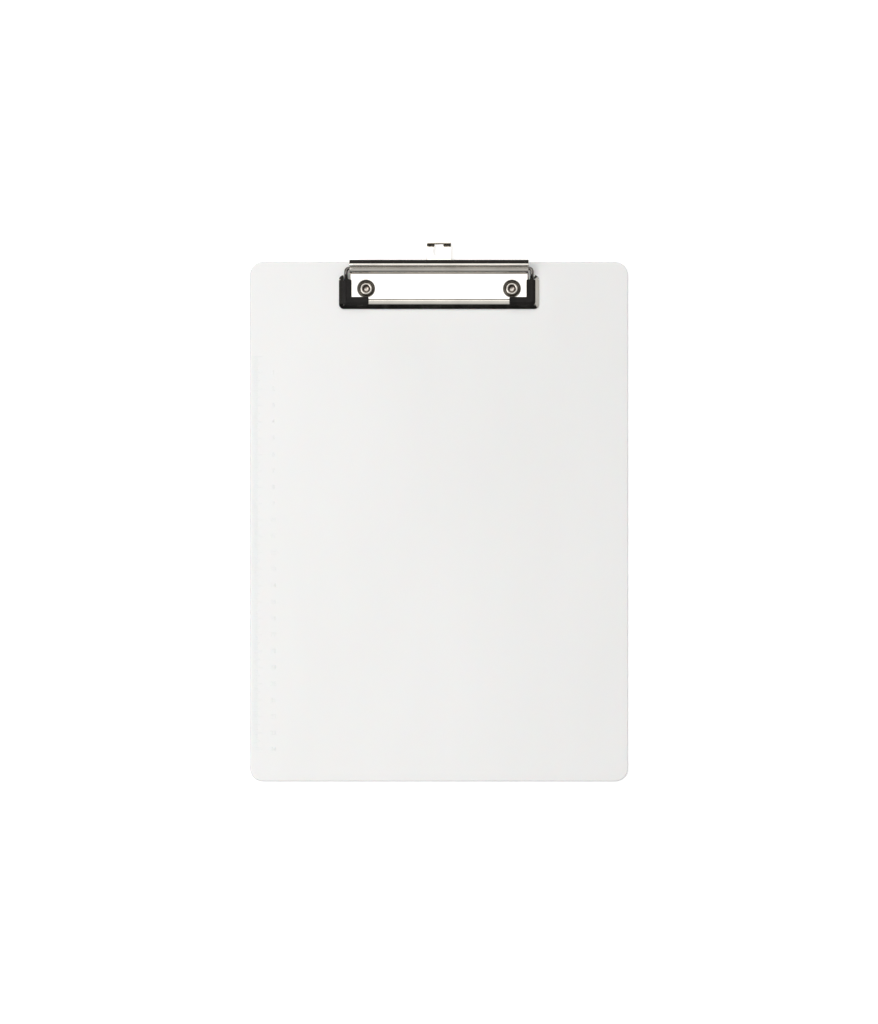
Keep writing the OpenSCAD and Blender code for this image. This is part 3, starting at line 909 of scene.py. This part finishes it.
def jaw_bar():
    """U of pressed sheet over the bail, its flange turned in at the rear corners.

    Each station goes with the last column of the section that the sheet has there."""
    section, web_column, lip_column = jaw_section()
    all_columns = len(section) - 1
    stations = [((0, 0, a, "rear"), web_column) for a in range(86, 0, -9)]
    stations += [((0, 0, 0, "rear"), web_column)]
    front_y, front_x = JAW.y0 + JAW_CORNER, JAW.x1 - JAW_CORNER
    stations += [((0, WEB_REAR + (front_y - WEB_REAR) * k / 8, 0, "side"),
                  all_columns if k < 8 else lip_column) for k in range(9)]
    stations += [((0, 0, a, "corner"), lip_column) for a in range(-9, -90, -9)]
    stations += [((front_x * (1 - k / 18), 0, -90, "front"), all_columns if k else lip_column)
                 for k in range(19)]
    rows = [[jaw_point(station, u, v) for u, v, _ in section] for station, _ in stations]
    columns = [min(a[1], b[1]) for a, b in zip(stations, stations[1:])]
    rows += [[(-x, y, z) for x, y, z in row] for row in reversed(rows[:-1])]
    columns += columns[::-1]
    width = len(section)
    points, faces = grid(rows)
    faces = [f for f in faces if f[0] % width < columns[f[0] // width]]
    used = sorted({i for f in faces for i in f})
    renumber = {old: new for new, old in enumerate(used)}
    piece = new_mesh("jaw_bar_pressed", [points[i] for i in used],
                     [[renumber[i] for i in f] for f in faces], weld=0.002)
    if sum(p.normal.z * p.area for p in piece.data.polygons) < 0:
        piece.data.flip_normals()
    thicken(piece, JAW_SHEET, side=0)
    round_edges(piece, 0.12, angle=60, segments=2)
    smooth(piece, angle=40)
    place(piece, "clamp", CHROME, ["jaw_bar"])


# --------------------------------------------------------------------- corner grips

GRIP_W = 5.45
GRIP_CORNER = 2.0
GRIP_STEP_FROM, GRIP_STEP_TO = 2.7, 3.9
FRONT_STEP_TO, FRONT_SQUEEZE, FRONT_SPREAD = 3.25, 0.458, 1.129


def grip_section():
    """Closed (inset, height) outline of the rubber, sloped outside and stepped inside."""
    low, top = WEB_TOP + 0.04, GRIP.z1
    outline = [(0.0, low), (0.0, low + 0.12)]
    outline += arc_points((0.35, low + 0.12), 0.35, 180, 120, 3)[1:]
    outline += arc_points((1.75, top - 0.5), 0.5, 115, 90, 3)
    outline += [(2.2, top), (2.35, top - 0.10), (2.5, top - 0.16), (GRIP_STEP_FROM, top - 0.16)]
    outline += arc_points((GRIP_W - 0.4, top - 0.56), 0.4, 90, 0, 5)
    outline += [(GRIP_W, GRIP.z0 + 0.2)]
    outline += arc_points((GRIP_W - 0.2, GRIP.z0 + 0.2), 0.2, 0, -90, 3)[1:]
    outline += [(GRIP_STEP_TO, GRIP.z0), (GRIP_STEP_TO, low)]
    return outline


def front_inset(u):
    """A grip's inset on its front arm, for an inset on its side arm."""
    if u < GRIP_STEP_FROM:
        return u
    if u < GRIP_STEP_TO:
        return GRIP_STEP_FROM + (u - GRIP_STEP_FROM) * FRONT_SQUEEZE
    return FRONT_STEP_TO + (u - GRIP_STEP_TO) * FRONT_SPREAD


def corner_grip(name, node, flip):
    """L of moulded rubber, swept round the jaw's corner, with soft ends."""
    section = grip_section()
    x1, y0 = GRIP.x1, GRIP.y0
    turn_x, turn_y = x1 - GRIP_CORNER, y0 + GRIP_CORNER
    mid_u, mid_v = (sum(values) / len(section) for values in zip(*section))
    ends = ((0.0, 0.62), (0.12, 0.82), (0.3, 0.94), (0.55, 1.0))
    stations = [(x1, GRIP.y1 - d, "side", 0, f) for d, f in ends]
    stations += [(x1, GRIP.y1 + (turn_y - GRIP.y1) * k / 8, "side", 0, 1.0)
                 for k in range(1, 9)]
    stations += [(0, 0, "corner", a, 1.0) for a in range(-9, -90, -9)]
    stations += [(turn_x + (GRIP.x0 - turn_x) * k / 8, y0, "front", -90, 1.0)
                 for k in range(8)]
    stations += [(GRIP.x0 + d, y0, "front", -90, f) for d, f in reversed(ends)]
    rows = []
    for x, y, where, angle, full in stations:
        row = []
        for u, v in section:
            u, v = mid_u + (u - mid_u) * full, mid_v + (v - mid_v) * full
            w = front_inset(u)
            r = max(GRIP_CORNER - u * 0.45, 0.25)
            if where == "corner":
                row.append((x1 - u - r + r * cos(radians(angle)),
                            y0 + w + r + r * sin(radians(angle)), v))
            elif where == "side":
                row.append((x1 - u, max(y, y0 + w + r), v))
            else:
                row.append((min(x, x1 - u - r), y0 + w, v))
        rows.append(row)
    part = capped(rows)
    piece = new_mesh(name, *(mirrored(part) if flip else part))
    smooth(piece, angle=45)
    place(piece, "clamp", RUBBER, [node])


# -------------------------------------------------------------------------- springs

SPRING_TURNS = 6
SPRING_PITCH = 0.85
COIL_R = 1.5
SPRING_WIRE_R = 0.34
COIL_STEPS = 24


def torsion_spring(side, flip):
    """Close-wound spring on the hinge: a coil and a leg in the plate, and a leg that turns
    with the lever it presses on."""
    start = SPRING.x0 + SPRING_WIRE_R
    bottom = HINGE_Z - COIL_R
    line = []
    for k in range(SPRING_TURNS * COIL_STEPS + 7):
        a = 2 * pi * k / COIL_STEPS
        line.append((start + SPRING_PITCH * k / COIL_STEPS, HINGE_Y + COIL_R * cos(a),
                     HINGE_Z - COIL_R * sin(a)))
    end = start + SPRING_PITCH * (SPRING_TURNS + 0.25)
    line += [(end, HINGE_Y - 0.7, bottom), (end, HINGE_Y - 1.25, bottom - 0.1),
             (end, HINGE_Y - 1.5, bottom - 0.5), (end, HINGE_Y - 1.5, BOARD.z1 + 1.6)]
    leg = [(start, HINGE_Y + COIL_R, HINGE_Z + z) for z in (5.7, 4.5, 3, 1.5, 0.0)]
    node = "torsion_spring_" + side
    for points, ending, body, nodes in ((line, "_wound", "board", [node]),
                                        (leg, "_leg", "clamp", [])):
        part = tube(points, SPRING_WIRE_R, sides=12)
        piece = new_mesh(node + ending, *(mirrored(part) if flip else part))
        smooth(piece, angle=60)
        place(piece, body, SPRING_STEEL, nodes)


board_panel()
moulded_ruler()
clip_base()
rivet("rivet_left_set", -RIVET_X, "rivet_left")
rivet("rivet_right_set", RIVET_X, "rivet_right")
hanging_hook()
lever()
bail_wire()
jaw_bar()
corner_grip("corner_grip_left_moulded", "corner_grip_left", True)
corner_grip("corner_grip_right_moulded", "corner_grip_right", False)
torsion_spring("left", True)
torsion_spring("right", False)


# ---------------------------------------------------------- floor, lights and camera

CAMERA_HEIGHT = 1.2
PICTURE_LONG_SIDE = 0.6253
PICTURE_CENTRE_Y = 0.0059
SENSOR = 36
FLOOR_HALF_SIZE = 8.0
# Brightness of the surroundings: the softbox beyond the clip and before it, its share at the
# sides, a glow straight overhead, the window, and the dark parts before and beyond the clip.
SOFTBOX = 1.90
FILL = 0.50
ASIDE = 0.15
OVERHEAD = 0.20
WINDOW = 0.52
DIM = 0.010
DIM_BEYOND = 0.035


def pale_floor():
    """Wide pale sheet that the clipboard lies on."""
    far = FLOOR_HALF_SIZE / MM
    points = [(x * far, y * far, BOARD.z0 - 0.05)
              for x, y in ((-1, -1), (1, -1), (1, 1), (-1, 1))]
    floor = new_mesh("floor", points, [(0, 1, 2, 3)])
    s = Shader("pale_floor")
    s.feed(s.ramp(s.noise(3, detail=3), [(0.3, 0.93), (0.7, 0.96)]), "Base Color")
    s.set(Roughness=0.9, Emission_Color=(1, 1, 1, 1), Emission_Strength=0.26)
    floor.data.materials.append(s.material)
    floor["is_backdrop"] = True


def soft_tent():
    """A bright softbox overhead and beyond the clip, a dimmer one before it, a window at the
    right, and dim sides. Every step is along an axis of the world's unit directions."""
    world = bpy.data.worlds.new("soft_tent")
    bpy.context.scene.world = world
    world.use_nodes = True
    tree = world.node_tree
    nodes, links = tree.nodes, tree.links
    background = next(n for n in nodes if n.type == "BACKGROUND")
    split = nodes.new("ShaderNodeSeparateXYZ")
    links.new(nodes.new("ShaderNodeTexCoord").outputs["Generated"], split.inputs[0])

    def step(source, edge0, edge1, low, high):
        spread = nodes.new("ShaderNodeMapRange")
        spread.interpolation_type = "SMOOTHSTEP"
        for socket, value in (("From Min", edge0), ("From Max", edge1), ("To Min", low),
                              ("To Max", high)):
            spread.inputs[socket].default_value = value
        links.new(source, spread.inputs["Value"])
        return spread.outputs["Result"]

    def maths(operation, a, b=0.0):
        return maths_node(tree, operation, a, b)

    aside = maths("ABSOLUTE", split.outputs["X"])
    beyond = step(split.outputs["Y"], 0.005, 0.055, 0.0, 1.0)
    level = maths("ADD", maths("MULTIPLY", beyond, SOFTBOX - FILL), FILL)
    box = maths("MULTIPLY", step(split.outputs["Z"], 0.39, 0.46, 0.0, 1.0),
                step(aside, 0.42, 0.60, 1.0, ASIDE))
    overhead = maths("MULTIPLY", step(split.outputs["Z"], 0.93, 0.99, 0.0, OVERHEAD),
                     maths("SUBTRACT", 1.0, beyond))
    window = maths("MULTIPLY", step(split.outputs["X"], 0.55, 0.85, 0.0, WINDOW),
                   step(split.outputs["Z"], 0.02, 0.10, 0.0, 1.0))
    total = maths("ADD", maths("MULTIPLY", box, level), maths("ADD", overhead, window))
    dim = maths("ADD", maths("MULTIPLY", beyond, DIM_BEYOND - DIM), DIM)
    links.new(maths("ADD", total, dim), background.inputs["Strength"])
    background.inputs["Color"].default_value = (1.0, 0.995, 0.985, 1)


def area_light(name, place_at, aim, size, power):
    """Soft rectangular light aimed at a point."""
    data = bpy.data.lights.new(name, "AREA")
    data.shape = "RECTANGLE"
    data.size, data.size_y = size
    data.energy = power
    light = bpy.data.objects.new(name, data)
    light.location = place_at
    direction = Vector(aim) - Vector(place_at)
    light.rotation_euler = direction.to_track_quat("-Z", "Y").to_euler()
    bpy.context.scene.collection.objects.link(light)


def camera():
    """Looks straight down at the board, with the clip at the top of the picture."""
    data = bpy.data.cameras.new("camera")
    data.sensor_width = SENSOR
    data.lens = SENSOR * (CAMERA_HEIGHT - BOARD.z1 * MM) / PICTURE_LONG_SIDE
    item = bpy.data.objects.new("camera", data)
    item.location = (0, PICTURE_CENTRE_Y, CAMERA_HEIGHT)
    bpy.context.scene.collection.objects.link(item)
    bpy.context.scene.camera = item


pale_floor()
soft_tent()
area_light("key", (-0.75, -0.15, 1.2), (-0.1, 0.0, 0), (0.8, 0.8), 9)
camera()
bpy.context.scene.view_settings.view_transform = "Standard"

boxes = {"cad": cad_box, "visual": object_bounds()}
{name: [list(corner) for corner in box] for name, box in boxes.items()}
